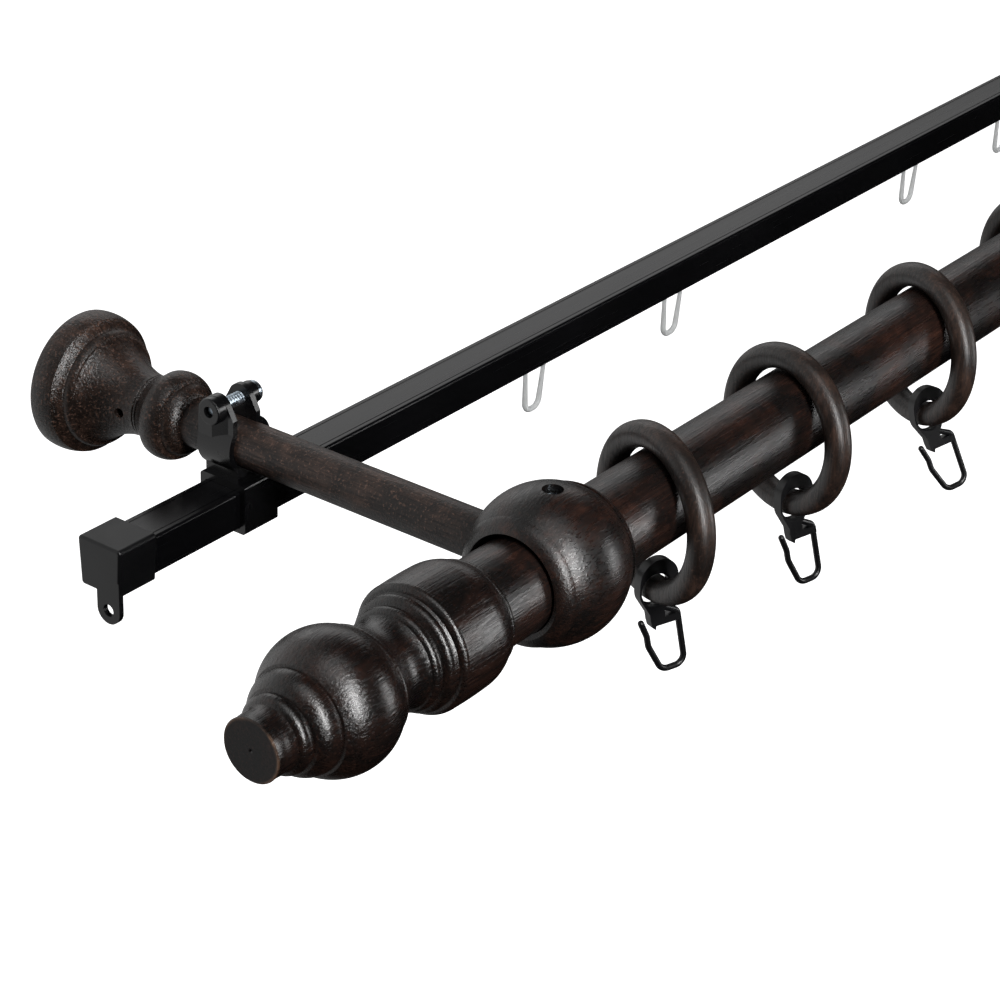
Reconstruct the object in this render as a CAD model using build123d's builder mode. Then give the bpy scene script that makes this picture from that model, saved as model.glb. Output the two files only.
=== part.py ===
"""Double-row wooden curtain rod with rings, clip hooks and a slim glider track.

The frame: the origin is the centre of the left wall rosette's flat back, X runs
along the wall to the right, Y points into the wall and Z is up. Millimetres.
"""
import os

from build123d import *

os.makedirs("parts", exist_ok=True)

# Driving dimensions of the whole rod
ROD_DIAMETER = 28.0
ROD_LENGTH = 1200.0
ROD_TO_WALL = 182.5
STEM_DIAMETER = 14.6
BRACKET_INSET = 59.0
TRACK_TO_WALL = 67.1
TRACK_OVERHANG = 59.0

# The rod lies along X through both bracket balls
ROD_RADIUS = ROD_DIAMETER / 2
ROD_Y = -ROD_TO_WALL
SPAN = ROD_LENGTH - 2 * BRACKET_INSET
MIDDLE = SPAN / 2
ROD_AXIS = Axis((0, ROD_Y, 0), (1, 0, 0))
ROD_SIDE = Plane(origin=(0, ROD_Y, 0), x_dir=(1, 0, 0), z_dir=(0, -1, 0))
MIRROR_PLANE = Plane.YZ.offset(MIDDLE)

# Ball holder: a turned ball with a lip ring on both sides of the rod hole
BALL_WALL = 9.65
BALL_RADIUS = ROD_RADIUS + BALL_WALL
BALL_HALF_WIDTH = 13.7
BALL_SHOULDER = ROD_RADIUS + 5.25
LIP_RADIUS = ROD_RADIUS + 5.6
LIP_FACE = 18.2
ROD_HOLE_PLAY = 1.0
ROD_HOLE_RADIUS = ROD_RADIUS + ROD_HOLE_PLAY

# Stem: a dowel from the ball's socket to the rosette's socket
STEM_RADIUS = STEM_DIAMETER / 2
STEM_IN_BALL = ROD_RADIUS + 3.0
STEM_IN_ROSETTE = 28.9
ROSETTE_LENGTH = 48.9
WALL_STUD_RADIUS = 4.0
WALL_STUD_DEPTH = 24.0
ROSETTE_PIN_RADIUS = 1.6
ROSETTE_PIN_Y = -26.5

# Screw that pins the rod inside the ball
ROD_SCREW_RADIUS = 1.7
ROD_SCREW_HEAD_RADIUS = 2.7
ROD_SCREW_HEAD = 2.0
ROD_SCREW_SEAT = BALL_RADIUS - 4.4
ROD_SCREW_DEPTH = 8.0
ROD_SCREW_RECESS_RADIUS = 3.1

# Slim track: a C-profile whose slot faces the floor
TRACK_WIDTH = 14.0
TRACK_HEIGHT = 12.5
TRACK_WALL = 1.1
TRACK_SLOT = 4.6
TRACK_Y = -TRACK_TO_WALL
TRACK_TOP = -(STEM_RADIUS + 4.7)
TRACK_MIDDLE_Z = TRACK_TOP - TRACK_HEIGHT / 2
TRACK_BOTTOM = TRACK_TOP - TRACK_HEIGHT
TRACK_START = -TRACK_OVERHANG
TRACK_LENGTH = SPAN + 2 * TRACK_OVERHANG
TRACK_CORNER = 0.9
BORE_CORNER_RELIEF = 0.3
BORE_CORNER = TRACK_CORNER - BORE_CORNER_RELIEF
BEAD_LINE_INSET = 2.2
BEAD_LINE = 0.35

# Clamp: one moulding with a split collar on the stem and a sleeve on the track
COLLAR_WIDTH = 13.0
COLLAR_WALL = 2.0
COLLAR_Y = TRACK_Y + 2.6
COLLAR_NECK = 11.0
EAR_Z = STEM_RADIUS + 5.5
NEAR_EAR_FACE = -5.6
FAR_EAR_FACE = 2.8
EAR_PLATE = 1.9
EAR_TOP_RADIUS = 4.4
EAR_SHOULDER = EAR_Z - 2.8
BOSS_RADIUS = 4.3
BOSS_LENGTH = 3.7
BOSS_EDGE = 0.6
GUSSET = 1.2
GUSSET_FLAT = 5.5
GUSSET_FOOT = 11.0
FAR_BOSS_RADIUS = 3.8
FAR_BOSS_LENGTH = 2.9
SLEEVE_LENGTH = 15.0
SLEEVE_SHIFT = -0.7
SLEEVE_SIDE = 2.0
SLEEVE_ROOF = 2.3
SLEEVE_FLOOR = 1.7
SLEEVE_CORNER = 1.0
SLEEVE_SLOT = 7.4
SLIDING_FIT = 0.05
CLAMP_SCREW_RADIUS = 1.8
CLAMP_SCREW_INSET = 1.4
CLAMP_SCREW_HEAD_RADIUS = 3.5
CLAMP_SCREW_HEAD = 2.4

# End cap on each end of the track, with a hanging eye
CAP_LENGTH = 15.0
CAP_WALL = 1.5
CAP_FACE = 2.0
CAP_TAPER = 0.9
CAP_CORNER = 2.4
EYE_WIDTH = 8.9
EYE_TO_FRONT = 3.2
EYE_DROP = 9.6
EYE_THICKNESS = 1.8
EYE_HOLE_RADIUS = 2.0

# Wooden ring: nearly round section, hung on top of the rod with a hair's play
RING_RADIUS = 24.0
RING_THICKNESS = 8.2
RING_WIDTH = 8.4
RING_CORNER = 3.9
RING_PLAY = 0.3
RING_DROP = ROD_RADIUS + RING_PLAY - (RING_RADIUS - RING_THICKNESS / 2)
# The rings hang on the free length between the balls, less the room of a turned ring
RING_ROOM = 16.0
RING_START = LIP_FACE + RING_ROOM
RING_RUN = SPAN - 2 * RING_START
# Percent of that length, the ring's turn about Z, and the place of its hook: how far
# round the ring from the lowest point to the front, its tilt to the front and its swing
RING_PLACES = [
    (1.91, 22, 6, 2, 0), (9.23, 17, 14, 6, 0), (17.74, 24, 20, 12, 8),
    (26.32, 20, 9, 3, -2), (35.20, 15, 12, 5, 3), (44.18, 23, 5, 1, -1),
    (53.16, 18, 15, 8, 2), (62.13, 25, 8, 3, 0), (71.11, 16, 17, 10, -3),
    (80.09, 21, 7, 2, 1), (89.07, 18, 11, 5, 4), (97.45, 22, 6, 1, -2),
]

# Clip hook: a strap round the ring's section with a thick crown, a flat body with a
# crossbar, and a D-shaped wire hook below
HOOK_THICKNESS = 3.2
STRAP_PLAY = 0.9
STRAP_RADIUS = RING_WIDTH / 2 + STRAP_PLAY
STRAP_SAG = 0.3
STRAP_WALL = 1.0
STRAP_BEVEL = 0.5
STRAP_SLIT = 0.4
CROWN_RADIUS = STRAP_RADIUS + 1.75
CROWN_PLACE = (0.8, 2.8)
NECK_RADIUS = 2.8
NECK_PLACE = (0.6, -STRAP_RADIUS - 2.3)
BODY_POINTS = [(-2.2, -7.4), (-1.5, -11.0), (-0.8, -13.2), (0.4, -14.2), (0.6, -12.9),
               (9.7, -12.6), (9.2, -10.3), (3.6, -10.3), (3.4, -7.4)]
WIRE_RADIUS = 1.0
WIRE_POINTS = [(1.6, -6.6), (9.0, -10.1), (12.9, -29.2), (4.4, -29.7), (-1.0, -20.2),
               (-1.7, -16.6), (-4.1, -11.5)]
WIRE_BENDS = [2.5, 3.0, 4.0, 6.0, 6.0]

# Glider: a runner inside the track with a thin U loop below the slot
RUNNER_LENGTH = 14.0
RUNNER_WIDTH = 10.6
RUNNER_HEIGHT = 3.0
RUNNER_CORNER = 1.5
RUNNER_PLAY = 0.3
NECK_WIDTH = 3.2
NECK_DROP = 2.4
LOOP_WIRE = 0.7
LOOP_DROP = 20.5
LOOP_LEGS = (-5.5, 6.0)
LOOP_FOOT = (-4.7, 3.0)
LOOP_CORNER = 3.4
# Percent of the length between the brackets
GLIDER_PLACES = [
    14.09, 22.12, 38.84, 46.67, 53.70, 60.54, 67.47, 74.21, 80.78, 87.25, 92.79, 97.04,
]


def turned_outline(stations):
    """Draw a closed lathe outline of stations (along, radius, bulge from the last)."""
    for before, after in zip(stations, stations[1:] + stations[:1]):
        start, end = before[:2], after[:2]
        bulge = after[2] if len(after) > 2 else 0
        if bulge:
            SagittaArc(start, end, bulge)
        else:
            Line(start, end)


def save(piece, name):
    """Label a finished piece with its node name and write it."""
    piece.label = name
    export_step(piece, f"parts/{name}.step")


def save_pair(piece, name):
    """Write a left piece and its mirror image at the other end of the rod."""
    save(piece, f"{name}_left")
    save(mirror(piece, about=MIRROR_PLANE), f"{name}_right")


# Rod, with the two pilot holes of its fixing screws
with BuildPart() as rod:
    with BuildSketch(Plane.YZ.offset(-BRACKET_INSET)) as rod_section:
        with Locations((ROD_Y, 0)):
            Circle(ROD_RADIUS)
    extrude(amount=ROD_LENGTH)
    chamfer(rod.edges().filter_by(GeomType.CIRCLE), 0.8)
    with Locations(
        Location((0, ROD_Y, ROD_RADIUS - ROD_SCREW_DEPTH)),
        Location((SPAN, ROD_Y, ROD_RADIUS - ROD_SCREW_DEPTH)),
    ):
        Cylinder(
            ROD_SCREW_RADIUS, ROD_SCREW_DEPTH + 1,
            align=(Align.CENTER, Align.CENTER, Align.MIN), mode=Mode.SUBTRACT,
        )
save(rod.part, "rod")

# Turned finial, from the flat end of its stub to the lip where the rod enters
FINIAL_FACE = -124.7
FINIAL_LIP = -37.2
FINIAL_STATIONS = [
    (FINIAL_FACE + 0.5, 0), (FINIAL_FACE, 0.9), (FINIAL_FACE, 9.1), (-124.3, 9.5),
    (-117.5, 9.1, -0.6),
    (-113.5, 10.9, 0.8), (-113.1, 11.9),
    (-106.6, 14.7, 0.9), (-106.4, 15.5),
    (-85.2, 17.5, 3.6), (-84.9, 16.5),
    (-82.5, 16.1, 0.5), (-82.2, 15.4),
    (-69.8, 13.6, -1.9), (-69.6, 14.1),
    (-67.0, 14.9, 0.45), (-66.7, 14.6), (-66.3, 15.5),
    (-63.7, 16.9, 0.5), (-63.3, 16.5), (-62.6, 16.9), (-62.4, 17.8),
    (-60.2, 19.0, 0.4),
    (-46.0, 19.0, 0.15),
    (-39.3, 16.8, 0.45), (-39.0, 16.3), (-38.7, 16.6),
    (-37.4, 16.2, 0.15), (FINIAL_LIP, 15.8), (FINIAL_LIP, 0),
]
with BuildPart() as finial:
    with BuildSketch(ROD_SIDE) as finial_half:
        with BuildLine():
            turned_outline(FINIAL_STATIONS)
        make_face()
    revolve(axis=ROD_AXIS)
    with BuildSketch(Plane.YZ.offset(-BRACKET_INSET)) as finial_socket:
        with Locations((ROD_Y, 0)):
            Circle(ROD_RADIUS)
    extrude(amount=BRACKET_INSET, mode=Mode.SUBTRACT)
save_pair(finial.part, "finial")

# Ball holder, with the rod hole, the stem socket and the screw recess on top
BALL_STATIONS = [
    (-LIP_FACE, 0), (-LIP_FACE, ROD_RADIUS + 1.8),
    (-BALL_HALF_WIDTH - 0.4, LIP_RADIUS, 0.55), (-BALL_HALF_WIDTH - 0.2, BALL_SHOULDER - 0.4),
    (-BALL_HALF_WIDTH, BALL_SHOULDER),
    (BALL_HALF_WIDTH, BALL_SHOULDER, BALL_RADIUS - BALL_SHOULDER),
    (BALL_HALF_WIDTH + 0.2, BALL_SHOULDER - 0.4), (BALL_HALF_WIDTH + 0.4, LIP_RADIUS),
    (LIP_FACE, ROD_RADIUS + 1.8, 0.55), (LIP_FACE, 0),
]
with BuildPart() as ball:
    with BuildSketch(ROD_SIDE) as ball_half:
        with BuildLine():
            turned_outline(BALL_STATIONS)
        make_face()
    revolve(axis=ROD_AXIS)
    # The hole is wider than the rod, which lies on the bottom of it
    with BuildSketch(Plane.YZ) as rod_hole:
        with Locations((ROD_Y, ROD_HOLE_PLAY - 0.05)):
            Circle(ROD_HOLE_RADIUS)
    extrude(amount=2 * LIP_FACE, both=True, mode=Mode.SUBTRACT)
    with BuildSketch(Plane.XZ.offset(-(ROD_Y + STEM_IN_BALL))) as stem_socket:
        Circle(STEM_RADIUS)
    extrude(amount=-BALL_RADIUS, mode=Mode.SUBTRACT)
    with Locations(Location((0, ROD_Y, BALL_RADIUS + 1))):
        CounterBoreHole(
            ROD_SCREW_RADIUS + 0.2, ROD_SCREW_RECESS_RADIUS,
            BALL_RADIUS + 1 - ROD_SCREW_SEAT, depth=BALL_RADIUS + 1 - ROD_RADIUS,
        )
save_pair(ball.part, "ball_holder")

# Screw down through the ball into the rod
with BuildPart() as rod_screw:
    with Locations(Location((0, ROD_Y, ROD_RADIUS - ROD_SCREW_DEPTH))):
        Cylinder(
            ROD_SCREW_RADIUS, ROD_SCREW_SEAT - ROD_RADIUS + ROD_SCREW_DEPTH,
            align=(Align.CENTER, Align.CENTER, Align.MIN),
        )
    with Locations(Location((0, ROD_Y, ROD_SCREW_SEAT))):
        Cylinder(
            ROD_SCREW_HEAD_RADIUS, ROD_SCREW_HEAD,
            align=(Align.CENTER, Align.CENTER, Align.MIN),
        )
    fillet(rod_screw.edges().filter_by(GeomType.CIRCLE).sort_by(Axis.Z)[-1], 0.8)
    with Locations(Location((0, ROD_Y, ROD_SCREW_SEAT + ROD_SCREW_HEAD))):
        Box(3.2, 0.7, 2.2, mode=Mode.SUBTRACT)
        Box(0.7, 3.2, 2.2, mode=Mode.SUBTRACT)
save_pair(rod_screw.part, "rod_screw")

# Stem from the ball's socket to the rosette's socket
STEM_START = ROD_Y + STEM_IN_BALL
STEM_END = -STEM_IN_ROSETTE
with BuildPart() as stem:
    with BuildSketch(Plane.XZ.offset(-STEM_START)) as stem_section:
        Circle(STEM_RADIUS)
    extrude(amount=-(STEM_END - STEM_START))
    chamfer(stem.edges().filter_by(GeomType.CIRCLE), 0.5)
save_pair(stem.part, "stem")

# Wall rosette: rim, bead, bell, waist with two scored lines, and a stepped collar
ROSETTE_STATIONS = [
    (-ROSETTE_LENGTH, 0), (-ROSETTE_LENGTH, 8.4), (-44.9, 11.6, 0.7),
    (-44.6, 12.9), (-38.0, 13.7, 0.75),
    (-33.3, 10.6, -0.15), (-32.9, 9.9), (-32.5, 10.3), (-31.9, 10.2), (-31.5, 9.5), (-31.1, 10.0),
    (-30.0, 10.0), (-13.5, 17.2, -1.5),
    (-13.4, 18.0), (-10.6, 18.8, 0.35), (-10.4, 19.2),
    (-8.2, 21.8, -0.2), (-0.6, 22.5, 0.5), (0, 22.1), (0, 0),
]
ROSETTE_HALF = Plane(origin=(0, 0, 0), x_dir=(0, 1, 0), z_dir=(1, 0, 0))
with BuildPart() as rosette:
    with BuildSketch(ROSETTE_HALF) as rosette_half:
        with BuildLine():
            turned_outline(ROSETTE_STATIONS)
        make_face()
    revolve(axis=Axis.Y)
    with BuildSketch(Plane.XZ.offset(-STEM_END)) as rosette_socket:
        Circle(STEM_RADIUS)
    extrude(amount=ROSETTE_LENGTH, mode=Mode.SUBTRACT)
    with BuildSketch(Plane.XZ) as stud_hole:
        Circle(WALL_STUD_RADIUS)
    extrude(amount=WALL_STUD_DEPTH, mode=Mode.SUBTRACT)
    with BuildSketch(Plane.YZ) as pin_hole:
        with Locations((ROSETTE_PIN_Y, 0)):
            Circle(ROSETTE_PIN_RADIUS)
    extrude(amount=-ROSETTE_LENGTH, mode=Mode.SUBTRACT)
save_pair(rosette.part, "wall_rosette")

# Track: C-profile with rounded corners, two fine lines and a slot below
TRACK_END_PLANE = Plane.YZ.offset(TRACK_START)
with BuildPart() as track:
    with BuildSketch(TRACK_END_PLANE) as track_section:
        with Locations((TRACK_Y, TRACK_MIDDLE_Z)):
            Rectangle(TRACK_WIDTH, TRACK_HEIGHT)
        fillet(track_section.vertices(), TRACK_CORNER)
        with Locations((TRACK_Y, TRACK_MIDDLE_Z)):
            Rectangle(TRACK_WIDTH - 2 * TRACK_WALL, TRACK_HEIGHT - 2 * TRACK_WALL, mode=Mode.SUBTRACT)
        with Locations((TRACK_Y, TRACK_BOTTOM)):
            Rectangle(TRACK_SLOT, 3 * TRACK_WALL, mode=Mode.SUBTRACT)
        with Locations((TRACK_Y, TRACK_TOP)):
            with GridLocations(TRACK_WIDTH - 2 * BEAD_LINE_INSET, 1, 2, 1):
                Rectangle(BEAD_LINE, 2 * BEAD_LINE, mode=Mode.SUBTRACT)
    extrude(amount=TRACK_LENGTH)
save(track.part, "track")

# End cap: a tapered cup over the track's end, with the eye hanging from its face
CAP_HALF_TOP = TRACK_WIDTH / 2 + CAP_WALL
CAP_HALF_BOTTOM = CAP_HALF_TOP - CAP_TAPER
CAP_TOP = TRACK_TOP + CAP_WALL + 0.4
CAP_BOTTOM = TRACK_BOTTOM - CAP_WALL
CAP_START = TRACK_START - CAP_FACE
CAP_PLANE = Plane(origin=(CAP_START, TRACK_Y, 0), x_dir=(0, 1, 0), z_dir=(1, 0, 0))
with BuildPart() as end_cap:
    with BuildSketch(CAP_PLANE) as cap_section:
        with BuildLine() as cap_outline:
            FilletPolyline(
                (-CAP_HALF_TOP, CAP_TOP), (CAP_HALF_TOP, CAP_TOP),
                (CAP_HALF_BOTTOM, CAP_BOTTOM), (-CAP_HALF_BOTTOM, CAP_BOTTOM),
                radius=CAP_CORNER / 2, close=True,
            )
        make_face()
    extrude(amount=CAP_LENGTH)
    fillet(end_cap.edges().group_by(Axis.X)[0], 0.9)
    with BuildSketch(CAP_PLANE.offset(CAP_FACE)) as cap_pocket:
        with Locations((0, TRACK_MIDDLE_Z)):
            RectangleRounded(
                TRACK_WIDTH + 2 * SLIDING_FIT, TRACK_HEIGHT + 2 * SLIDING_FIT, BORE_CORNER
            )
    extrude(amount=CAP_LENGTH, mode=Mode.SUBTRACT)
    with BuildSketch(CAP_PLANE) as eye_outline:
        with Locations((-EYE_TO_FRONT, CAP_BOTTOM)):
            Rectangle(EYE_WIDTH, 2 * (EYE_DROP - EYE_WIDTH / 2))
        with Locations((-EYE_TO_FRONT, CAP_BOTTOM - EYE_DROP + EYE_WIDTH / 2)):
            Circle(EYE_WIDTH / 2)
            Circle(EYE_HOLE_RADIUS, mode=Mode.SUBTRACT)
    extrude(amount=EYE_THICKNESS)
save_pair(end_cap.part, "end_cap")

# Clamp: split collar with two ears on top, and the track sleeve below
COLLAR_RADIUS = STEM_RADIUS + COLLAR_WALL
COLLAR_FRONT = Plane.XZ.offset(-(COLLAR_Y - COLLAR_WIDTH / 2))
NEAR_EAR_BACK = NEAR_EAR_FACE - EAR_PLATE
GUSSET_BACK = NEAR_EAR_BACK - GUSSET
BOSS_END = NEAR_EAR_BACK - BOSS_LENGTH
FAR_EAR_BACK = FAR_EAR_FACE + EAR_PLATE
CLAMP_SCREW_TIP = BOSS_END + CLAMP_SCREW_INSET
CLAMP_SCREW_SEAT = FAR_EAR_BACK + FAR_BOSS_LENGTH
EAR_SIDE = COLLAR_WIDTH / 2
EAR_ARC_CENTRE = (COLLAR_Y, EAR_Z)
EAR_FOOT = [
    (COLLAR_Y - EAR_SIDE, 0), (COLLAR_Y - EAR_SIDE, EAR_SHOULDER),
    (COLLAR_Y + EAR_SIDE, EAR_SHOULDER), (COLLAR_Y + EAR_SIDE, 0),
]
with BuildPart() as clamp:
    # Near ear, thickened into a gusset that runs out towards the front
    with BuildSketch(Plane.YZ.offset(GUSSET_BACK)) as near_ear:
        with BuildLine():
            CenterArc(EAR_ARC_CENTRE, EAR_TOP_RADIUS, 0, 360)
            Polyline(*EAR_FOOT, close=True)
        make_hull()
    extrude(amount=EAR_PLATE + GUSSET)
    with BuildSketch(Plane.XY) as gusset_slope:
        with BuildLine():
            Polyline(
                (GUSSET_BACK, COLLAR_Y + EAR_SIDE - GUSSET_FLAT),
                (NEAR_EAR_BACK, COLLAR_Y + EAR_SIDE - GUSSET_FOOT),
                (NEAR_EAR_BACK, COLLAR_Y - EAR_SIDE), (GUSSET_BACK, COLLAR_Y - EAR_SIDE),
                close=True,
            )
        make_face()
    extrude(amount=2 * EAR_Z, mode=Mode.SUBTRACT)
    # Far ear, a plain plate
    with BuildSketch(Plane.YZ.offset(FAR_EAR_FACE)) as far_ear:
        with BuildLine():
            CenterArc(EAR_ARC_CENTRE, EAR_TOP_RADIUS, 0, 360)
            Polyline(*EAR_FOOT, close=True)
        make_hull()
    extrude(amount=EAR_PLATE)
    # Bosses round the screw, the near one with a rounded end
    with BuildSketch(Plane.YZ.offset(BOSS_END)) as near_boss:
        with Locations(EAR_ARC_CENTRE):
            Circle(BOSS_RADIUS)
    extrude(amount=BOSS_LENGTH)
    fillet(clamp.edges().group_by(Axis.X)[0], BOSS_EDGE)
    with BuildSketch(Plane.YZ.offset(FAR_EAR_BACK)) as far_boss:
        with Locations(EAR_ARC_CENTRE):
            Circle(FAR_BOSS_RADIUS)
    extrude(amount=FAR_BOSS_LENGTH)
    # Collar and its neck down to the sleeve
    with BuildSketch(COLLAR_FRONT) as collar_section:
        Circle(COLLAR_RADIUS)
        with Locations((0, (TRACK_TOP - STEM_RADIUS) / 2)):
            Rectangle(COLLAR_NECK, -TRACK_TOP - STEM_RADIUS)
    extrude(amount=-COLLAR_WIDTH)
    # Sleeve around the track, open under the slot
    SLEEVE_START = SLEEVE_SHIFT - SLEEVE_LENGTH / 2
    with BuildSketch(Plane.YZ.offset(SLEEVE_START)) as sleeve_section:
        with Locations((TRACK_Y, TRACK_MIDDLE_Z + (SLEEVE_ROOF - SLEEVE_FLOOR) / 2)):
            RectangleRounded(
                TRACK_WIDTH + 2 * SLEEVE_SIDE, TRACK_HEIGHT + SLEEVE_ROOF + SLEEVE_FLOOR, SLEEVE_CORNER
            )
    extrude(amount=SLEEVE_LENGTH)
    with BuildSketch(Plane.YZ.offset(SLEEVE_START)) as sleeve_hole:
        with Locations((TRACK_Y, TRACK_MIDDLE_Z)):
            RectangleRounded(
                TRACK_WIDTH + 2 * SLIDING_FIT, TRACK_HEIGHT + 2 * SLIDING_FIT, BORE_CORNER
            )
        with Locations((TRACK_Y, TRACK_BOTTOM - SLEEVE_FLOOR)):
            Rectangle(SLEEVE_SLOT, 3 * SLEEVE_FLOOR)
    extrude(amount=SLEEVE_LENGTH, mode=Mode.SUBTRACT)
    # Stem bore and the slit between the ears
    with BuildSketch(COLLAR_FRONT) as stem_bore:
        Circle(STEM_RADIUS)
        with Locations(((NEAR_EAR_FACE + FAR_EAR_FACE) / 2, EAR_Z)):
            Rectangle(FAR_EAR_FACE - NEAR_EAR_FACE, 2 * EAR_Z)
    extrude(amount=-COLLAR_WIDTH, mode=Mode.SUBTRACT)
    with BuildSketch(Plane.YZ.offset(BOSS_END)) as screw_hole:
        with Locations(EAR_ARC_CENTRE):
            Circle(CLAMP_SCREW_RADIUS)
    extrude(amount=CLAMP_SCREW_SEAT - BOSS_END, mode=Mode.SUBTRACT)
save_pair(clamp.part, "track_clamp")

# Zinc screw that pulls the two ears together, its head on the far ear
with BuildPart() as clamp_screw:
    with BuildSketch(Plane.YZ.offset(CLAMP_SCREW_TIP)) as shank_section:
        with Locations(EAR_ARC_CENTRE):
            Circle(CLAMP_SCREW_RADIUS)
    extrude(amount=CLAMP_SCREW_SEAT - CLAMP_SCREW_TIP)
    chamfer(clamp_screw.edges().group_by(Axis.X)[0], CLAMP_SCREW_RADIUS / 3)
    with BuildSketch(Plane.YZ.offset(CLAMP_SCREW_SEAT)) as head_section:
        with Locations(EAR_ARC_CENTRE):
            Circle(CLAMP_SCREW_HEAD_RADIUS)
    extrude(amount=CLAMP_SCREW_HEAD)
    fillet(clamp_screw.edges().filter_by(GeomType.CIRCLE).sort_by(Axis.X)[-1], CLAMP_SCREW_HEAD / 2)
    with Locations(Location((CLAMP_SCREW_SEAT + CLAMP_SCREW_HEAD, COLLAR_Y, EAR_Z))):
        Box(CLAMP_SCREW_HEAD, CLAMP_SCREW_HEAD_RADIUS, 0.9, mode=Mode.SUBTRACT)
        Box(CLAMP_SCREW_HEAD, 0.9, CLAMP_SCREW_HEAD_RADIUS, mode=Mode.SUBTRACT)
save_pair(clamp_screw.part, "clamp_screw")

# Ring, about its own centre, with its axis along X
with BuildPart() as ring_shape:
    with BuildSketch(Plane.XZ) as ring_section:
        with Locations((0, RING_RADIUS)):
            RectangleRounded(RING_WIDTH, RING_THICKNESS, RING_CORNER)
    revolve(axis=Axis.X)

# Hook, about the centre of the ring's section, in the plane of X and Z
with BuildPart() as hook_shape:
    with BuildSketch(Plane.XZ) as strap_section:
        with BuildLine():
            CenterArc(CROWN_PLACE, CROWN_RADIUS, 0, 360)
            CenterArc((0, -STRAP_SAG), STRAP_RADIUS + STRAP_WALL, 0, 360)
            CenterArc(NECK_PLACE, NECK_RADIUS, 0, 360)
        make_hull()
        with BuildLine():
            Polyline(*BODY_POINTS, close=True)
        make_face()
        with Locations((0, -STRAP_SAG)):
            Circle(STRAP_RADIUS, mode=Mode.SUBTRACT)
        with Locations((STRAP_RADIUS + STRAP_WALL, -STRAP_SAG - STRAP_RADIUS / 2)):
            Rectangle(4 * STRAP_WALL, STRAP_SLIT, mode=Mode.SUBTRACT)
    extrude(amount=HOOK_THICKNESS / 2, both=True)
    strap_edges = hook_shape.edges().filter_by(GeomType.CIRCLE)
    chamfer(strap_edges.filter_by(lambda edge: abs(edge.radius - STRAP_RADIUS) < 0.01), STRAP_BEVEL)
    with BuildLine(Plane.XZ) as wire_path:
        FilletPolyline(*WIRE_POINTS, radius=WIRE_BENDS)
    with BuildSketch(Plane(origin=wire_path.line @ 0, z_dir=wire_path.line % 0)) as wire_section:
        Circle(WIRE_RADIUS)
    sweep()
    with Locations(wire_path.line @ 1):
        Sphere(WIRE_RADIUS)

# Rings with their hooks along the rod
for number, (share, turn, around, tilt, swing) in enumerate(RING_PLACES, 1):
    ring_place = Location((RING_START + RING_RUN * share / 100, ROD_Y, RING_DROP), (0, 0, -turn))
    with BuildPart() as ring:
        with Locations(ring_place):
            add(ring_shape.part)
    save(ring.part, f"ring_{number:02d}")
    on_ring = Vector(0, 0, -RING_RADIUS).rotate(Axis.X, -around)
    with BuildPart() as hook:
        with Locations(ring_place * Location(on_ring, (-tilt, -swing, 0))):
            add(hook_shape.part)
    save(hook.part, f"clip_hook_{number:02d}")

# Glider, about the middle of the track's lower edge
with BuildPart() as glider_shape:
    with Locations(Location((0, 0, TRACK_WALL + RUNNER_PLAY))):
        Box(RUNNER_LENGTH, RUNNER_WIDTH, RUNNER_HEIGHT, align=(Align.CENTER, Align.CENTER, Align.MIN))
    fillet(glider_shape.edges().filter_by(Axis.Z), RUNNER_CORNER)
    with Locations(Location((0, 0, TRACK_WALL + RUNNER_PLAY))):
        Box(RUNNER_LENGTH - 1.0, NECK_WIDTH, NECK_DROP, align=(Align.CENTER, Align.CENTER, Align.MAX))
    with BuildLine(Plane.XZ) as loop_path:
        FilletPolyline(
            (LOOP_LEGS[0], 0), (LOOP_FOOT[0], -LOOP_DROP + LOOP_WIRE),
            (LOOP_FOOT[1], -LOOP_DROP + LOOP_WIRE), (LOOP_LEGS[1], 0),
            radius=LOOP_CORNER,
        )
    with BuildSketch(Plane(origin=loop_path.line @ 0, z_dir=loop_path.line % 0)) as loop_section:
        Circle(LOOP_WIRE)
    sweep()

for number, share in enumerate(GLIDER_PLACES, 1):
    with BuildPart() as glider:
        with Locations(Location((SPAN * share / 100, TRACK_Y, TRACK_BOTTOM))):
            add(glider_shape.part)
    save(glider.part, f"glider_{number:02d}")
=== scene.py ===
"""A dark wooden double curtain rod in soft studio light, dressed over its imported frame.

Lengths are in metres and the axes are the frame's: X along the wall, Y into it, Z up.
"""
import math

import bpy
from mathutils import Matrix, Vector


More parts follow.
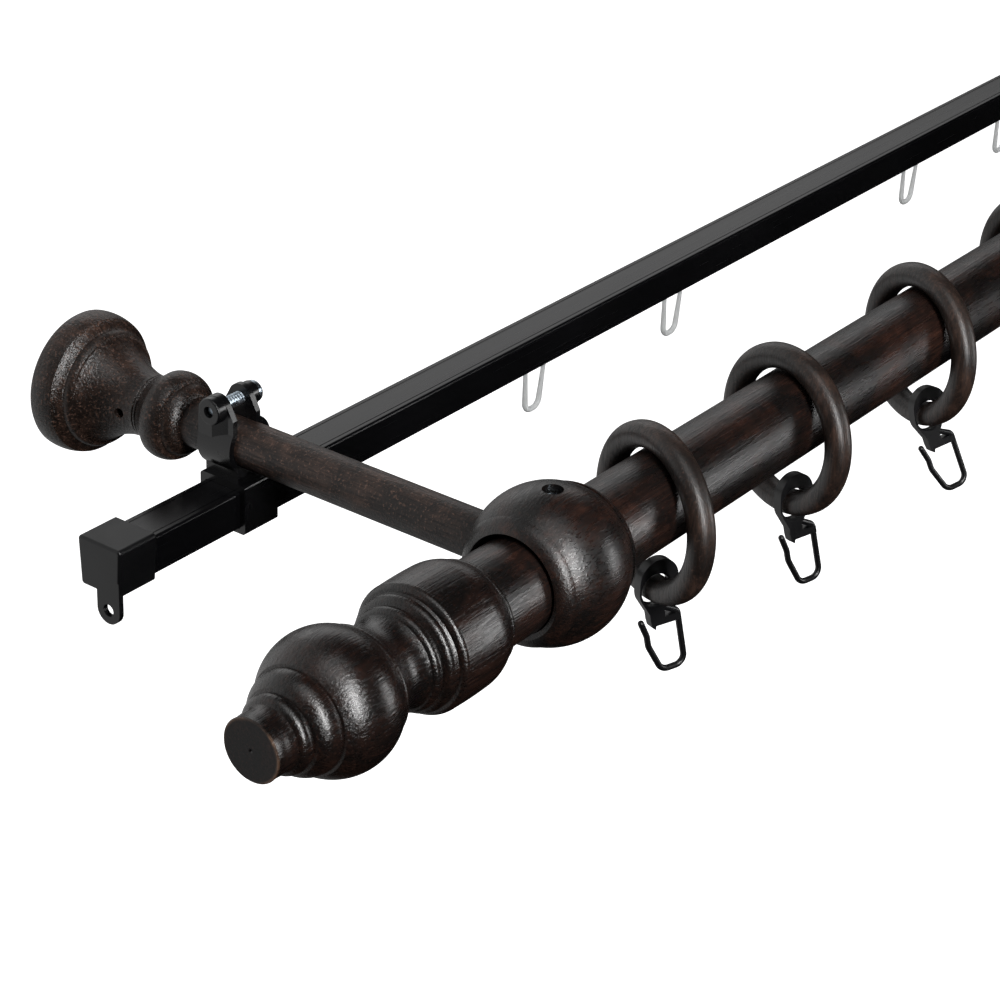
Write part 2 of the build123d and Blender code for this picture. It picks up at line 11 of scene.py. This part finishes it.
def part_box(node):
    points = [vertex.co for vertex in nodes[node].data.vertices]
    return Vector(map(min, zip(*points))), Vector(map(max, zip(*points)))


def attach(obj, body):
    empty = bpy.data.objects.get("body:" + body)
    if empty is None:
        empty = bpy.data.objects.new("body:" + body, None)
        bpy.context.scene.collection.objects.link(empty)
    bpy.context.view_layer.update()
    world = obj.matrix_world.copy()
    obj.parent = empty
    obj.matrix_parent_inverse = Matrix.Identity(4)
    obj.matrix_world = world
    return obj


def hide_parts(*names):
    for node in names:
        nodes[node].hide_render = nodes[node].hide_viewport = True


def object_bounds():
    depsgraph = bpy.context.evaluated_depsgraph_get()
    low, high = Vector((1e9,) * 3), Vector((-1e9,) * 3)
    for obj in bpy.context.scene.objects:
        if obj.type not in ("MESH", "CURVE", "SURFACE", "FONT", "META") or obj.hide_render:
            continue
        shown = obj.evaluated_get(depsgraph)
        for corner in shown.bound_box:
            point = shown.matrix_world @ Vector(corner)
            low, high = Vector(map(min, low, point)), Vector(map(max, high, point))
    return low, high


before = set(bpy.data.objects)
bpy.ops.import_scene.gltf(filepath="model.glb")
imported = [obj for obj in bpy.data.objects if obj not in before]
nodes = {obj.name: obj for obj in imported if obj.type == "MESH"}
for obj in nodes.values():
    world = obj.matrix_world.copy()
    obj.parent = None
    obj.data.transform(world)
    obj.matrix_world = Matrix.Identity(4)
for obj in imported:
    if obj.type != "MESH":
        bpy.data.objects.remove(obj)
cad_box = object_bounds()

MM = 0.001

# Camera: where the photographer stood, and how far they zoomed in
CAMERA_AZIMUTH = -54.19
CAMERA_ELEVATION = 27.85
CAMERA_ROLL = 2.51
CAMERA_PLACE = Vector((-529.1, -546.47, 358.58)) * MM
CAMERA_LENS = 94.66
CAMERA_SENSOR = 36
CAMERA_CLIP = (0.01, 50)

# Finial stub: depth behind the end, share of the solid's radius
STUB = ((0.0, 0.965), (0.5 * MM, 0.965), (3.5 * MM, 1.05), (7.2 * MM, 1.04), (11.2 * MM, 1.0))

# Glider loop: where it starts below the runner's top, and how much thicker it is all round
LOOP_BELOW = 5.6 * MM
LOOP_GROWTH = 0.35 * MM

# Thread of the clamp screws; each end fades out over 1 / THREAD_FADE of the length
THREAD_PITCH = 1.1 * MM
THREAD_HALF_WIDTH = 0.42 * THREAD_PITCH
THREAD_HEIGHT = 0.3 * MM
THREAD_SINK = 0.06 * MM
THREAD_ROOT = 1.8 * MM
THREAD_START = 1.0 * MM
THREAD_END = 4.6 * MM
THREAD_STEPS = 40
THREAD_FADE = 8

# Wood figure: noise cells per metre, and their share of that number along the grain
PATCH_SCALE = 48.0
STREAK_SCALE = 480.0
PORE_SCALE = 1700.0
SPECK_SCALE = 1100.0
GRAIN_SHARE = 0.07

# Stains, the warmer wood where they are thin, and the pale brown of the painted highlight
# round the finials' ends
BLACK_STAIN = (0.0048, 0.0038, 0.0035)
BROWN_STAIN = (0.0105, 0.0072, 0.0060)
RED_GLOW = (0.050, 0.021, 0.014)
BROWN_GLOW = (0.060, 0.034, 0.025)
PAINTED_RIM_HIGHLIGHT = (0.12, 0.07, 0.045)
SPECK_GLOW = 2.2

# Painted highlight on the finials' rims, and how deep behind the ends still counts as the end
# face
RIM_HIGHLIGHT_RADIUS = 9.0 * MM
RIM_HIGHLIGHT_WIDTH = 0.8 * MM
END_FACE_DEPTH = 0.15 * MM

# Wood looks: shares of warm patches and worn specks, roughness, clear coat, relief depths
ROD_LOOK = {
    "warm": 0.9, "specks": 0.15, "rough": 0.30, "coat": 0.1,
    "streak_depth": 0.13 * MM, "pore_depth": 0.15 * MM, "speck_depth": 0.06 * MM,
}
FINIAL_LOOK = {
    **ROD_LOOK, "warm": 0.45, "rough": 0.21, "coat": 0.2,
    "streak_depth": 0.25 * MM, "pore_depth": 0.18 * MM,
}
STEM_LOOK = {
    **ROD_LOOK, "warm": 1.3, "specks": 0.9, "rough": 0.36, "coat": 0.0,
    "speck_depth": 0.22 * MM,
}
ROSETTE_LOOK = {
    **STEM_LOOK, "warm": 0.8, "specks": 0.8, "rough": 0.22,
    "pore_depth": 0.1 * MM, "speck_depth": 0.3 * MM,
}
RING_LOOK = {**ROD_LOOK, "specks": 0.3, "rough": 0.36}

# Colours of the plastics, the coating, the plating and the nylon
GLOSS_BLACK = (0.003, 0.003, 0.0034)
MATTE_BLACK = (0.0035, 0.0035, 0.004)
TRACK_BLACK = (0.0025, 0.0025, 0.003)
ZINC_GREYS = ((0.38, 0.46, 0.54), (0.62, 0.70, 0.76))
NYLON_GREYS = ((0.68, 0.69, 0.69), (0.76, 0.77, 0.77))

# Studio: a floor clear below the part, and a surround that is brighter toward the wall; its
# strength is WALL_LIGHT times the cosine to the wall's side, plus ROOM_LIGHT, from 0 to 1
FLOOR_DROP = 0.55
FLOOR_SIZE = 14.0
FLOOR_COLOUR = (0.92, 0.92, 0.92, 1)
WHITE = (1, 1, 1, 1)
WALL_SIDE = (-0.25, 0.97, 0.0)
WALL_LIGHT = 1.0
ROOM_LIGHT = -0.18

# Soft boxes, all aimed at one point: name, steps of LAMP_REACH from it along the camera's
# right and back, further offset in the room, width, height, watts
LAMP_AIM = Vector((0.0, -0.18, 0.0))
LAMP_REACH = 1.6
SOFT_BOXES = (
    ("strip_near", 0.52, 0.84, (0.0, 0.0, 0.0), 0.25, 1.3, 34),
    ("strip_side", 0.98, -0.16, (0.0, 0.0, 0.15), 0.3, 0.8, 5),
    ("far_panel", 0.0, 0.0, (1.2, 1.05, 0.75), 1.6, 0.8, 3),
    ("overhead", 0.0, 0.0, (-0.5, -0.4, 2.0), 1.4, 1.4, 10),
)


def make_camera():
    """Put the camera at the photograph's place, angle and roll.

    Returns the directions toward the camera and to its right.
    """
    azimuth, elevation = math.radians(CAMERA_AZIMUTH), math.radians(CAMERA_ELEVATION)
    back = Vector((
        math.sin(azimuth) * math.cos(elevation),
        -math.cos(azimuth) * math.cos(elevation),
        math.sin(elevation),
    ))
    side = Vector((0, 0, 1)).cross(back).normalized()
    upward = back.cross(side)
    roll = math.radians(CAMERA_ROLL)
    right = side * math.cos(roll) + upward * math.sin(roll)
    top = upward * math.cos(roll) - side * math.sin(roll)
    camera_data = bpy.data.cameras.new("camera")
    camera_data.lens = CAMERA_LENS
    camera_data.sensor_width = CAMERA_SENSOR
    camera_data.clip_start, camera_data.clip_end = CAMERA_CLIP
    camera = bpy.data.objects.new("camera", camera_data)
    bpy.context.scene.collection.objects.link(camera)
    turn = Matrix((right, top, back)).transposed().to_4x4()
    camera.matrix_world = Matrix.Translation(CAMERA_PLACE) @ turn
    bpy.context.scene.camera = camera
    return back, right


def new_material(name):
    """A new node material, its node tree and its Principled shader."""
    material = bpy.data.materials.new(name)
    material.use_nodes = True
    tree = material.node_tree
    return material, tree, tree.nodes["Principled BSDF"]


def ramp(tree, source, stops):
    """A colour ramp over source, from (place, colour) stops."""
    node = tree.nodes.new("ShaderNodeValToRGB")
    elements = node.color_ramp.elements
    while len(elements) < len(stops):
        elements.new(0.5)
    for element, (place, colour) in zip(elements, stops):
        element.position = place
        element.color = (*colour, 1)
    tree.links.new(source, node.inputs["Fac"])
    return node.outputs["Color"]


def grey_ramp(tree, source, stops):
    """A ramp between grey levels, from (place, level) stops."""
    return ramp(tree, source, [(place, (level,) * 3) for place, level in stops])


def mix(tree, kind, share, first, second):
    """Mix two colours; share, first and second are sockets or plain values."""
    node = tree.nodes.new("ShaderNodeMix")
    node.data_type = "RGBA"
    node.blend_type = kind
    for name, value in (("Factor", share), ("A", first), ("B", second)):
        socket = next(s for s in node.inputs if s.name == name and s.enabled)
        if isinstance(value, bpy.types.NodeSocket):
            tree.links.new(value, socket)
        elif socket.type == "RGBA":
            socket.default_value = (*value, 1)
        else:
            socket.default_value = value
    return next(s for s in node.outputs if s.enabled)


def place_nodes(tree, scale=(1, 1, 1), shift=(0, 0, 0)):
    """The object's own coordinates, scaled along each axis."""
    coordinates = tree.nodes.new("ShaderNodeTexCoord")
    mapping = tree.nodes.new("ShaderNodeMapping")
    mapping.inputs["Scale"].default_value = scale
    mapping.inputs["Location"].default_value = shift
    tree.links.new(coordinates.outputs["Object"], mapping.inputs["Vector"])
    return mapping.outputs["Vector"]


def noise(tree, vector, scale, detail, rough, distortion=0.0):
    """Cloudy noise of about scale cells per metre."""
    node = tree.nodes.new("ShaderNodeTexNoise")
    node.inputs["Scale"].default_value = scale
    node.inputs["Detail"].default_value = detail
    node.inputs["Roughness"].default_value = rough
    node.inputs["Distortion"].default_value = distortion
    tree.links.new(vector, node.inputs["Vector"])
    return node.outputs["Fac"]


def bump(tree, height, strength, depth, before=None):
    """Fine relief, on top of the relief before it."""
    node = tree.nodes.new("ShaderNodeBump")
    node.inputs["Strength"].default_value = strength
    node.inputs["Distance"].default_value = depth
    tree.links.new(height, node.inputs["Height"])
    if before is not None:
        tree.links.new(before, node.inputs["Normal"])
    return node.outputs["Normal"]


def calculate(tree, kind, *values):
    """One sum on sockets or numbers."""
    node = tree.nodes.new("ShaderNodeMath")
    node.operation = kind
    for socket, value in zip(node.inputs, values):
        if isinstance(value, bpy.types.NodeSocket):
            tree.links.new(value, socket)
        else:
            socket.default_value = value
    return node.outputs["Value"]


def distance_across(tree, first, second):
    """The length of a step whose two parts are sockets."""
    first_square = calculate(tree, "MULTIPLY", first, first)
    second_square = calculate(tree, "MULTIPLY", second, second)
    return calculate(tree, "SQRT", calculate(tree, "ADD", first_square, second_square))


def end_faces(tree):
    """Shares of the finials' flat ends and of the painted highlight on the rims round them.
    """
    coordinates = tree.nodes.new("ShaderNodeTexCoord")
    split = tree.nodes.new("ShaderNodeSeparateXYZ")
    tree.links.new(coordinates.outputs["Object"], split.inputs["Vector"])
    low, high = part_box("finial_left")
    _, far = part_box("finial_right")
    middle, reach = (low[0] + far[0]) / 2, (far[0] - low[0]) / 2
    from_middle = calculate(
        tree, "ABSOLUTE", calculate(tree, "SUBTRACT", split.outputs["X"], middle))
    beyond = calculate(tree, "SUBTRACT", from_middle, reach)
    across = calculate(tree, "SUBTRACT", split.outputs["Y"], (low[1] + high[1]) / 2)
    upward = calculate(tree, "SUBTRACT", split.outputs["Z"], (low[2] + high[2]) / 2)
    radius = distance_across(tree, across, upward)
    off_edge = calculate(tree, "SUBTRACT", radius, RIM_HIGHLIGHT_RADIUS)
    near = calculate(tree, "DIVIDE", distance_across(tree, beyond, off_edge), RIM_HIGHLIGHT_WIDTH)
    # Painted highlight: the share of the pale band round the edge of each end
    rim_highlight = calculate(tree, "MAXIMUM", calculate(tree, "SUBTRACT", 1.0, near), 0.0)
    flat = calculate(tree, "GREATER_THAN", beyond, -END_FACE_DEPTH)
    return flat, rim_highlight


def stained_wood(name, along, shift, dark, warm, look, ends=False):
    """Stained turned wood: streaks along the grain, thin stain in patches, worn specks.

    shift moves the figure, so that each wood has its own. With ends, the finials' flat
    ends are matt and the edges round them carry a painted highlight, pale brown in patches.
    """
    material, tree, shader = new_material(name)
    grain = [1.0, 1.0, 1.0]
    grain["XYZ".index(along)] = GRAIN_SHARE
    grain_space = place_nodes(tree, grain, shift)
    plain_space = place_nodes(tree, shift=shift)

    patches = noise(tree, plain_space, PATCH_SCALE, detail=4.0, rough=0.65, distortion=0.6)
    streaks = noise(tree, grain_space, STREAK_SCALE, detail=5.0, rough=0.65, distortion=0.5)
    pores = noise(tree, grain_space, PORE_SCALE, detail=3.0, rough=0.6)
    specks = noise(tree, plain_space, SPECK_SCALE, detail=3.0, rough=0.65)

    patch_share = grey_ramp(tree, patches, [(0.42, 0.0), (0.66, 1.0)])
    streak_share = grey_ramp(tree, streaks, [(0.38, 0.2), (0.62, 1.0)])
    warm_mask = mix(tree, "MULTIPLY", 1.0, patch_share, streak_share)
    scaled_mask = mix(tree, "MULTIPLY", 1.0, warm_mask, (look["warm"],) * 3)
    body = mix(tree, "MIX", scaled_mask, dark, warm)
    pore_share = grey_ramp(tree, pores, [(0.36, 0.35), (0.52, 1.0)])
    pored = mix(tree, "MULTIPLY", 1.0, body, pore_share)
    speck_share = grey_ramp(tree, specks, [(0.56, 0.0), (0.70, look["specks"])])
    wear_and_rim_highlight_colour = mix(tree, "MIX", speck_share, pored, tuple(SPECK_GLOW * c for c in warm))
    rough = look["rough"]
    gloss = grey_ramp(tree, pores, [(0.35, rough + 0.12), (0.6, rough - 0.05)])
    if ends:
        flat, rim_highlight = end_faces(tree)
        # Painted highlight: the rim round each end turns pale brown, broken up in patches
        rim_highlight_patches = grey_ramp(tree, patches, [(0.4, 0.1), (0.6, 1.6)])
        wear_and_rim_highlight_colour = mix(tree, "MIX", calculate(tree, "MULTIPLY", rim_highlight, rim_highlight_patches), wear_and_rim_highlight_colour, PAINTED_RIM_HIGHLIGHT)
        gloss = mix(tree, "MIX", flat, gloss, (1.0, 1.0, 1.0))
    tree.links.new(wear_and_rim_highlight_colour, shader.inputs["Base Color"])
    tree.links.new(gloss, shader.inputs["Roughness"])
    shader.inputs["Specular IOR Level"].default_value = 0.5
    shader.inputs["Coat Weight"].default_value = look["coat"]
    shader.inputs["Coat Roughness"].default_value = 0.25
    relief = bump(tree, streaks, strength=0.7, depth=look["streak_depth"])
    relief = bump(tree, pores, strength=0.8, depth=look["pore_depth"], before=relief)
    relief = bump(tree, specks, strength=0.8, depth=look["speck_depth"], before=relief)
    tree.links.new(relief, shader.inputs["Normal"])
    return material


def moulded_plastic(name, colour, rough, grain, coat=0.0):
    """Moulded plastic with a fine grain and faint flow marks."""
    material, tree, shader = new_material(name)
    space = place_nodes(tree)
    flow = noise(tree, space, scale=60.0, detail=3.0, rough=0.5, distortion=0.8)
    fine = noise(tree, space, scale=2600.0, detail=2.0, rough=0.5)
    shade = grey_ramp(tree, flow, [(0.3, 0.85), (0.7, 1.15)])
    tint = mix(tree, "MULTIPLY", 1.0, colour, shade)
    tree.links.new(tint, shader.inputs["Base Color"])
    gloss = grey_ramp(tree, flow, [(0.3, rough - 0.04), (0.7, rough + 0.05)])
    tree.links.new(gloss, shader.inputs["Roughness"])
    shader.inputs["Coat Weight"].default_value = coat
    shader.inputs["Coat Roughness"].default_value = 0.12
    relief = bump(tree, fine, strength=grain, depth=0.05 * MM)
    relief = bump(tree, flow, strength=0.06, depth=0.5 * MM, before=relief)
    tree.links.new(relief, shader.inputs["Normal"])
    return material


def coated_track(name):
    """Satin black coating on an extruded profile, with faint drawing lines along it."""
    material, tree, shader = new_material(name)
    long_space = place_nodes(tree, scale=(0.004, 1, 1))
    drawn = noise(tree, long_space, scale=2200.0, detail=3.0, rough=0.6)
    wide_space = place_nodes(tree, scale=(0.4, 1, 1))
    cloudy = noise(tree, wide_space, scale=70.0, detail=3.0, rough=0.5)
    shade = grey_ramp(tree, cloudy, [(0.3, 0.8), (0.7, 1.2)])
    tint = mix(tree, "MULTIPLY", 1.0, TRACK_BLACK, shade)
    tree.links.new(tint, shader.inputs["Base Color"])
    gloss = grey_ramp(tree, drawn, [(0.3, 0.22), (0.7, 0.28)])
    tree.links.new(gloss, shader.inputs["Roughness"])
    shader.inputs["Specular IOR Level"].default_value = 0.4
    relief = bump(tree, drawn, strength=0.12, depth=0.04 * MM)
    tree.links.new(relief, shader.inputs["Normal"])
    return material


def zinc_steel(name):
    """Bright zinc plating: bluish grey, slightly blotchy."""
    material, tree, shader = new_material(name)
    blotches = noise(tree, place_nodes(tree), scale=700.0, detail=4.0, rough=0.6)
    colour = ramp(tree, blotches, list(zip((0.3, 0.7), ZINC_GREYS)))
    tree.links.new(colour, shader.inputs["Base Color"])
    gloss = grey_ramp(tree, blotches, [(0.3, 0.20), (0.7, 0.34)])
    tree.links.new(gloss, shader.inputs["Roughness"])
    shader.inputs["Metallic"].default_value = 1.0
    relief = bump(tree, blotches, strength=0.1, depth=0.03 * MM)
    tree.links.new(relief, shader.inputs["Normal"])
    return material


def thin_nylon(name):
    """Pale nylon that lets some light through."""
    material, tree, shader = new_material(name)
    cloudy = noise(tree, place_nodes(tree), scale=300.0, detail=3.0, rough=0.5)
    colour = ramp(tree, cloudy, list(zip((0.3, 0.7), NYLON_GREYS)))
    tree.links.new(colour, shader.inputs["Base Color"])
    gloss = grey_ramp(tree, cloudy, [(0.3, 0.30), (0.7, 0.42)])
    tree.links.new(gloss, shader.inputs["Roughness"])
    shader.inputs["Transmission Weight"].default_value = 0.25
    shader.inputs["IOR"].default_value = 1.45
    relief = bump(tree, cloudy, strength=0.1, depth=0.05 * MM)
    tree.links.new(relief, shader.inputs["Normal"])
    return material


def dress(node_name, material):
    """Give a carried-over CAD node its material."""
    node = nodes[node_name]
    node.data.materials.clear()
    node.data.materials.append(material)


def copy_node(node_name, ending, material):
    """A copy of a CAD node in the same place, to be reshaped and shown instead of it."""
    node = nodes[node_name]
    piece = bpy.data.objects.new(node_name + ending, node.data.copy())
    bpy.context.scene.collection.objects.link(piece)
    piece.matrix_world = node.matrix_world
    piece.data.materials.clear()
    piece.data.materials.append(material)
    return piece


def stub_share(depth):
    """The finial stub's share of the solid's radius at a depth behind its end."""
    after = next(i for i, (place, _) in enumerate(STUB) if place > depth)
    (start, low_share), (end, high_share) = STUB[after - 1], STUB[after]
    return low_share + (high_share - low_share) * (depth - start) / (end - start)


def fuller_stub(node_name, material):
    """A finial like the solid, with a smaller end and less of a waist behind it."""
    piece = copy_node(node_name, "_turned", material)
    low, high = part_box(node_name)
    centre_y, centre_z = (low[1] + high[1]) / 2, (low[2] + high[2]) / 2
    face = low[0] if node_name.endswith("left") else high[0]
    for vertex in piece.data.vertices:
        depth = abs(vertex.co.x - face)
        if depth < STUB[-1][0]:
            share = stub_share(depth)
            vertex.co.y = centre_y + share * (vertex.co.y - centre_y)
            vertex.co.z = centre_z + share * (vertex.co.z - centre_z)
    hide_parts(node_name)
    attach(piece, "rail")


def stouter_loop(node_name, material):
    """A glider like the solid, with a thicker loop below its neck.

    Vertices that share a place, to 0.01 mm, move along the sum of their normals, so that
    no seam opens.
    """
    piece = copy_node(node_name, "_moulded", material)
    loop_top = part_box(node_name)[1].z - LOOP_BELOW
    loop = [vertex for vertex in piece.data.vertices if vertex.co.z < loop_top]
    places = [tuple(round(c / MM, 2) for c in vertex.co) for vertex in loop]
    outward = {}
    for place, vertex in zip(places, loop):
        outward[place] = outward.get(place, Vector()) + vertex.normal
    for place, vertex in zip(places, loop):
        vertex.co += LOOP_GROWTH * outward[place].normalized()
    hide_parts(node_name)
    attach(piece, node_name)


def thread_ridge(node_name, slot):
    """A helical ridge round the shank of a clamp screw, fitted to the node's own place.

    slot is a pair of a name, which is not used, and the material that goes on the ridge.
    """
    corners = [nodes[node_name].matrix_world @ Vector(c) for c in nodes[node_name].bound_box]
    low = [min(c[i] for c in corners) for i in range(3)]
    high = [max(c[i] for c in corners) for i in range(3)]
    centre_y, centre_z = (low[1] + high[1]) / 2, (low[2] + high[2]) / 2
    facing = 1 if node_name.endswith("left") else -1
    tip = low[0] if facing == 1 else high[0]
    length = high[0] - low[0] - THREAD_END
    count = int(length / THREAD_PITCH * THREAD_STEPS)
    points, faces = [], []
    for step in range(count + 1):
        angle = math.tau * step / THREAD_STEPS
        middle_x = THREAD_START + THREAD_PITCH * step / THREAD_STEPS
        fade = min(1.0, THREAD_FADE * step / count, THREAD_FADE * (count - step) / count)
        section = (
            (-THREAD_HALF_WIDTH, -THREAD_SINK),
            (0.0, THREAD_HEIGHT * fade),
            (THREAD_HALF_WIDTH, -THREAD_SINK),
        )
        for offset, height in section:
            radius = THREAD_ROOT + height
            points.append((
                tip + facing * (middle_x + offset),
                centre_y + radius * math.cos(angle),
                centre_z + radius * math.sin(angle),
            ))
    sides = len(section)
    for step in range(count):
        for side in range(sides):
            first, second = sides * step + side, sides * step + (side + 1) % sides
            faces.append((first, second, second + sides, first + sides))
    last = sides * count
    faces += [(0, 2, 1), (last, last + 1, last + 2)]
    if facing == -1:
        faces = [tuple(reversed(face)) for face in faces]
    mesh = bpy.data.meshes.new(node_name + "_thread")
    mesh.from_pydata(points, [], faces)
    mesh.materials.append(slot[1])
    ridge = bpy.data.objects.new(node_name + "_thread", mesh)
    bpy.context.scene.collection.objects.link(ridge)
    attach(ridge, "rail")


def area_light(name, place, width, height, power):
    """A soft box at place that is aimed at the part and not seen by the camera."""
    light = bpy.data.lights.new(name, "AREA")
    light.shape = "RECTANGLE"
    light.size = width
    light.size_y = height
    light.energy = power
    lamp = bpy.data.objects.new(name, light)
    bpy.context.scene.collection.objects.link(lamp)
    lamp.location = place
    lamp.visible_camera = False
    lamp.rotation_euler = (LAMP_AIM - place).to_track_quat("-Z", "Y").to_euler()


def make_floor():
    """A pale floor below the part that casts no light on it."""
    half = FLOOR_SIZE / 2
    height = cad_box[0][2] - FLOOR_DROP
    corners = [(-half, -half), (half, -half), (half, half), (-half, half)]
    floor_mesh = bpy.data.meshes.new("floor")
    floor_mesh.from_pydata([(x, y, height) for x, y in corners], [], [(0, 1, 2, 3)])
    floor = bpy.data.objects.new("floor", floor_mesh)
    bpy.context.scene.collection.objects.link(floor)
    material, _, shader = new_material("pale_floor")
    shader.inputs["Base Color"].default_value = FLOOR_COLOUR
    shader.inputs["Roughness"].default_value = 1.0
    shader.inputs["Specular IOR Level"].default_value = 0.0
    shader.inputs["Emission Color"].default_value = WHITE
    shader.inputs["Emission Strength"].default_value = 1.0
    floor.data.materials.append(material)
    floor.visible_diffuse = False
    floor.visible_glossy = False


def make_surround():
    """A surround that is white to the camera and lights the part from the wall's side."""
    world = bpy.data.worlds.new("surround")
    world.use_nodes = True
    tree = world.node_tree
    sky = tree.nodes["Background"]
    sky.inputs["Color"].default_value = WHITE
    direction = tree.nodes.new("ShaderNodeTexCoord")
    along = tree.nodes.new("ShaderNodeVectorMath")
    along.operation = "DOT_PRODUCT"
    along.inputs[1].default_value = WALL_SIDE
    tree.links.new(direction.outputs["Generated"], along.inputs[0])
    level = calculate(tree, "MULTIPLY_ADD", along.outputs["Value"], WALL_LIGHT, ROOM_LIGHT)
    level.node.use_clamp = True
    path = tree.nodes.new("ShaderNodeLightPath")
    seen = calculate(
        tree, "MAXIMUM", path.outputs["Is Camera Ray"], path.outputs["Is Transmission Ray"])
    tree.links.new(calculate(tree, "MAXIMUM", seen, level), sky.inputs["Strength"])
    bpy.context.scene.world = world


back, right = make_camera()
make_floor()
make_surround()
for name, across, behind, offset, width, height, power in SOFT_BOXES:
    place = LAMP_AIM + LAMP_REACH * (across * right + behind * back) + Vector(offset)
    area_light(name, place, width, height, power)

wood_along_rod = stained_wood(
    "stained_wood_rod", "X", (0, 0, 0), BLACK_STAIN, RED_GLOW, ROD_LOOK)
wood_stem = stained_wood(
    "stained_wood_stem", "Y", (0.3, 0, 0), BROWN_STAIN, BROWN_GLOW, STEM_LOOK)
wood_rosette = stained_wood(
    "stained_wood_rosette", "Y", (0.7, 0.1, 0), BROWN_STAIN, BROWN_GLOW, ROSETTE_LOOK)
wood_finial = stained_wood(
    "stained_wood_finial", "X", (1.7, 0.4, 0), BLACK_STAIN, RED_GLOW, FINIAL_LOOK, ends=True)
wood_ring = stained_wood(
    "stained_wood_ring", "Z", (2.7, 0.9, 0), BROWN_STAIN, BROWN_GLOW, RING_LOOK)
gloss_black = moulded_plastic(
    "gloss_black_plastic", GLOSS_BLACK, rough=0.25, grain=0.02, coat=0.2)
matte_black = moulded_plastic("matte_black_plastic", MATTE_BLACK, rough=0.34, grain=0.12)
track_black = coated_track("track_coating")
zinc = zinc_steel("zinc_plate")
nylon = thin_nylon("thin_nylon")

# The first prefix that fits a name counts, so rod_screw stands before rod
BY_PREFIX = {
    "rod_screw": zinc, "clamp_screw": zinc, "rod": wood_along_rod, "finial": wood_finial,
    "ball_holder": wood_along_rod, "stem": wood_stem, "wall_rosette": wood_rosette,
    "ring": wood_ring, "track_clamp": gloss_black, "track": track_black,
    "end_cap": matte_black, "clip_hook": matte_black, "glider": nylon,
}
for node_name in nodes:
    prefix = next(p for p in BY_PREFIX if node_name == p or node_name.startswith(p + "_"))
    dress(node_name, BY_PREFIX[prefix])

for node_name in sorted(nodes):
    if node_name.startswith("glider_"):
        stouter_loop(node_name, nylon)
for side in ("left", "right"):
    fuller_stub(f"finial_{side}", wood_finial)
    thread_ridge(f"clamp_screw_{side}", ("zinc_steel", zinc))

bpy.context.scene.view_settings.view_transform = "Standard"
